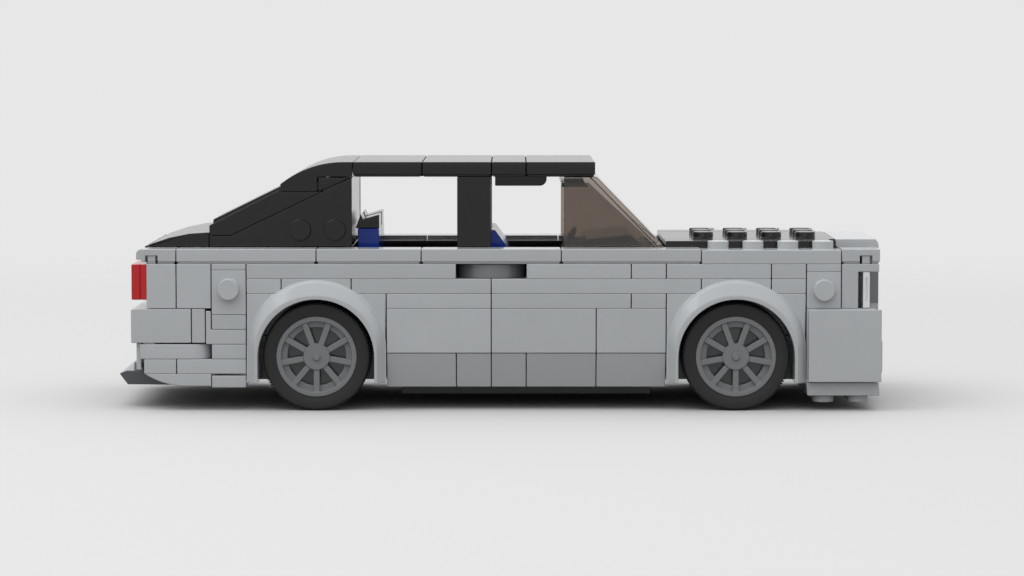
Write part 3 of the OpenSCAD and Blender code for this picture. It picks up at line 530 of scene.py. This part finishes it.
class SEDAN_OT_glazing(Pieces, Operator):
    """Windscreen and headlamp lenses"""
    bl_idname = "sedan.glazing"
    bl_label = "Glazing"
    nodes = GLAZING


class SEDAN_OT_rims(Pieces, Operator):
    """Spoked rims"""
    bl_idname = "sedan.rims"
    bl_label = "Rims"
    nodes = tuple("rim_" + wheel for wheel in WHEELS)


def ring_faces(rows, columns):
    """The quads of a grid whose rows and columns both close on themselves."""
    i, j = np.meshgrid(np.arange(rows), np.arange(columns), indexing="ij")
    i2, j2 = (i + 1) % rows, (j + 1) % columns
    corners = (i * columns + j, i * columns + j2, i2 * columns + j2, i2 * columns + j)
    return np.stack(corners, axis=-1).reshape(-1, 4)


def turned(name, middle, across, out, turn):
    """A closed profile carried round an axle.

    At the turn angle a, a point of the profile lies at the middle plus (out cos a, across, out sin a). The
    distance out may differ from angle to angle.
    """
    turn = turn[:, None]
    points = np.stack(np.broadcast_arrays(middle[0] + out * np.cos(turn), middle[1] + across,
                                          middle[2] + out * np.sin(turn)), axis=-1)
    mesh = bpy.data.meshes.new(name)
    mesh.from_pydata(points.reshape(-1, 3), [], ring_faces(*points.shape[:2]))
    work = bmesh.new()
    work.from_mesh(mesh)
    bmesh.ops.recalc_face_normals(work, faces=work.faces)
    work.to_mesh(mesh)
    work.free()
    return mesh


def web_mesh(wheel, settings, steps=64):
    """The web behind a rim's spokes: a flat section from the hub to the barrel, carried round the axle."""
    low, high = np.array(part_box("rim_" + wheel))
    middle, half = (low + high) / 2, (high[1] - low[1]) / 2
    front = half - settings.inset
    across = np.sign(middle[1]) * np.array([front, front, front - settings.thick, front - settings.thick])
    out = np.array([settings.inner, settings.outer, settings.outer, settings.inner])
    return turned("web_" + wheel, middle, across, out, np.linspace(0, 2 * np.pi, steps, endpoint=False))


class SEDAN_OT_webs(Operator):
    """Webs behind the spokes"""
    bl_idname = "sedan.webs"
    bl_label = "Webs"

    def execute(self, context):
        for wheel in WHEELS:
            web = web_mesh(wheel, context.scene.sedan_rim)
            add_piece(web, "web_" + wheel, "wheel_" + wheel, "charcoal_abs")
        return {"FINISHED"}


def tyre_mesh(wheel, settings):
    """A tyre as a closed profile carried round its axle.

    The profile runs out along the bore, up one wall, over a quarter-circle shoulder, across the tread and
    back. At each turn angle the tread's points drop by the groove depth wherever the tooth wave is low, and
    the drop fades over the shoulders.
    """
    low, high = np.array(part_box("tyre_" + wheel))
    bore = np.ptp([corner[0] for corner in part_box("rim_" + wheel)]) / 2
    middle, (radius, half, _) = (low + high) / 2, (high - low) / 2
    s, b = settings.shoulder, settings.bead
    bend = np.radians(np.linspace(0, 90, 6))
    # One half of the profile as across, out and tread share, from the bore to the middle of the tread.
    across = np.concatenate([[0, half - b, half - b, half], half - s + s * np.cos(bend), [half / 2]])
    out = np.concatenate([[bore, bore, bore + 2 * b, bore + 3.4 * b], radius - s + s * np.sin(bend),
                          [radius]])
    share = np.concatenate([[0, 0, 0, 0], np.sin(bend) ** 2, [1]])
    across = np.concatenate([across, [0], -across[:0:-1]])
    out = np.concatenate([out, [radius], out[:0:-1]])
    share = np.concatenate([share, [1], share[:0:-1]])
    # Each tooth has four steps: both ends of its crown and both ends of its groove.
    steps, grooved = np.array([0.0, 0.52, 0.62, 0.9]), np.array([0, 0, 1, 1])
    turn = (np.arange(settings.teeth)[:, None] + steps).ravel() * 2 * np.pi / settings.teeth
    drop = np.tile(grooved, settings.teeth) * settings.depth
    mesh = turned("tyre_%s_tread" % wheel, middle, across, out - drop[:, None] * share, turn)
    mesh.shade_smooth()
    mesh.set_sharp_from_angle(angle=settings.crease)
    return mesh


class SEDAN_OT_tyres(Operator):
    """Treaded tyres round the rims"""
    bl_idname = "sedan.tyres"
    bl_label = "Tyres"

    def execute(self, context):
        for wheel in WHEELS:
            place(tyre_mesh(wheel, context.scene.sedan_tyre), "tyre_%s_tread" % wheel, "tyre_" + wheel)
        return {"FINISHED"}


def soft_light(name, power, size, spot, target):
    """A square soft light that faces a target point."""
    lamp = bpy.data.lights.new(name, "AREA")
    lamp.energy = power
    lamp.size = size
    light = link(name, lamp)
    light.location = spot
    away = np.array(spot) - np.array(target)
    flat = math.hypot(away[0], away[1])
    light.rotation_euler = (math.atan2(flat, away[2]), 0, math.atan2(away[0], -away[1]))


def matt_paper(hues, reach):
    """Matt studio paper: an even pale grey that turns clear from a third of its reach to its rim."""
    material, tree = blank("matt_paper")
    spot = add(tree, "TexCoord").outputs["Object"]
    away = add(tree, "VectorMath", {0: spot}, operation="LENGTH")
    fade = add(tree, "MapRange", {"Value": away.outputs["Value"]},
               {"From Min": 0.35 * reach, "From Max": 0.98 * reach}, interpolation_type="SMOOTHSTEP")
    ray = add(tree, "LightPath")
    tone = add(tree, "MixRGB", {"Fac": ray.outputs["Is Diffuse Ray"]},
               {"Color1": rgba(hues.floor), "Color2": rgba(hues.bounce)})
    paper = add(tree, "BsdfDiffuse", {"Color": tone.outputs["Color"]})
    clear = add(tree, "BsdfTransparent")
    mix = add(tree, "MixShader", {0: fade.outputs["Result"], 1: paper.outputs["BSDF"],
                                  2: clear.outputs["BSDF"]})
    add(tree, "OutputMaterial", {"Surface": mix.outputs["Shader"]})
    return material


def studio_floor(hues, reach, steps=96):
    """A round floor whose paper turns clear towards its rim, so that it ends in the backdrop.

    Its points lie on rings round the origin, r (cos a, sin a), with one face inside the first ring.
    """
    turn = np.linspace(0, 2 * np.pi, steps, endpoint=False)
    rings = reach * np.array([0.001, 0.25, 0.5, 0.75, 1.0])[:, None]
    points = np.stack(np.broadcast_arrays(rings * np.cos(turn), rings * np.sin(turn), 0.0), axis=-1)
    faces = ring_faces(rings.size, steps)[:(rings.size - 1) * steps, ::-1]
    mesh = bpy.data.meshes.new("studio_floor")
    mesh.from_pydata(points.reshape(-1, 3), [], faces.tolist() + [list(range(steps))])
    mesh.materials.append(matt_paper(hues, reach))
    link("studio_floor", mesh)


def studio_world(hues, settings):
    """A plain backdrop for the eye, gloss and glass, with more light from above than from the sides."""
    world = bpy.data.worlds.new("studio")
    bpy.context.scene.world = world
    world.use_nodes = True
    tree = world.node_tree
    tree.nodes.clear()
    way = add(tree, "SeparateXYZ", {"Vector": add(tree, "TexCoord").outputs["Generated"]})
    rise = add(tree, "MapRange", {"Value": way.outputs["Z"]},
               {"To Min": settings.horizon, "To Max": settings.zenith})
    dome = add(tree, "Background", {"Strength": rise.outputs["Result"]}, {"Color": (1.0, 1.0, 1.0, 1.0)})
    glow = add(tree, "Background", inputs={"Color": rgba(hues.backdrop), "Strength": 1.0})
    ray = add(tree, "LightPath")
    seen = add(tree, "Math", {0: ray.outputs["Is Camera Ray"], 1: ray.outputs["Is Glossy Ray"]},
               operation="MAXIMUM")
    plain = add(tree, "Math", {0: seen.outputs["Value"], 1: ray.outputs["Is Transmission Ray"]},
                operation="MAXIMUM")
    mix = add(tree, "MixShader", {0: plain.outputs["Value"], 1: dome.outputs["Background"],
                                  2: glow.outputs["Background"]})
    add(tree, "OutputWorld", {"Surface": mix.outputs["Shader"]})


def studio_camera(settings):
    """The camera beside the car, a little above it and tipped down."""
    lens = bpy.data.cameras.new("camera")
    lens.sensor_width = settings.sensor
    lens.lens = settings.lens
    lens.clip_start = 0.01
    camera = link("camera", lens)
    camera.location = settings.place
    camera.rotation_euler = (math.pi / 2 - settings.tip, 0, 0)
    bpy.context.scene.camera = camera


class SEDAN_OT_stage(Operator):
    """Pale floor and backdrop, soft light and the camera"""
    bl_idname = "sedan.stage"
    bl_label = "Studio"

    def execute(self, context):
        settings, hues = context.scene.sedan_stage, context.scene.sedan_colours
        context.scene.view_settings.view_transform = "Standard"
        studio_floor(hues, settings.reach)
        studio_world(hues, settings)
        soft_light("key_softbox", settings.key, settings.key_size, settings.key_place, settings.aim)
        soft_light("fill_softbox", settings.fill, settings.fill_size, settings.fill_place, settings.aim)
        studio_camera(settings)
        return {"FINISHED"}


# One step puts in thin dark sheets that paint the shade behind the headlamp lenses.
STEPS = ("running_gear", "sides", "tail", "cabin", "nose", "lamp_backs", "glazing", "rims", "webs", "tyres",
         "stage")
GROUPS = (("sedan_mould", SEDAN_PG_mould), ("sedan_tyre", SEDAN_PG_tyre), ("sedan_rim", SEDAN_PG_rim),
          ("sedan_colours", SEDAN_PG_colours), ("sedan_stage", SEDAN_PG_stage))


class SEDAN_PT_panel(Panel):
    """Lists the settings and the steps that dress the sedan."""
    bl_label = "Toy Brick Sedan"
    bl_idname = "SEDAN_PT_panel"
    bl_space_type = "VIEW_3D"
    bl_region_type = "UI"
    bl_category = "Sedan"

    def draw(self, context):
        for name, group in GROUPS:
            box = self.layout.box()
            for key in group.__annotations__:
                box.prop(getattr(context.scene, name), key)
        for step in STEPS:
            self.layout.operator("sedan." + step)


CLASSES = tuple(group for _, group in GROUPS) + (
    SEDAN_OT_running_gear, SEDAN_OT_sides, SEDAN_OT_tail, SEDAN_OT_cabin, SEDAN_OT_nose,
    SEDAN_OT_recess_shade_sheets, SEDAN_OT_glazing, SEDAN_OT_rims, SEDAN_OT_webs, SEDAN_OT_tyres, SEDAN_OT_stage,
    SEDAN_PT_panel)


def register():
    """Registers the classes and puts the settings on the scene."""
    for cls in CLASSES:
        bpy.utils.register_class(cls)
    for name, group in GROUPS:
        setattr(bpy.types.Scene, name, PointerProperty(type=group))


def unregister():
    """Takes the settings off the scene and unregisters the classes."""
    for name, _ in GROUPS:
        delattr(bpy.types.Scene, name)
    for cls in reversed(CLASSES):
        bpy.utils.unregister_class(cls)


def main():
    """Makes the pieces and the studio."""
    register()
    for step in STEPS:
        getattr(bpy.ops.sedan, step)()


if __name__ == "__main__":
    main()
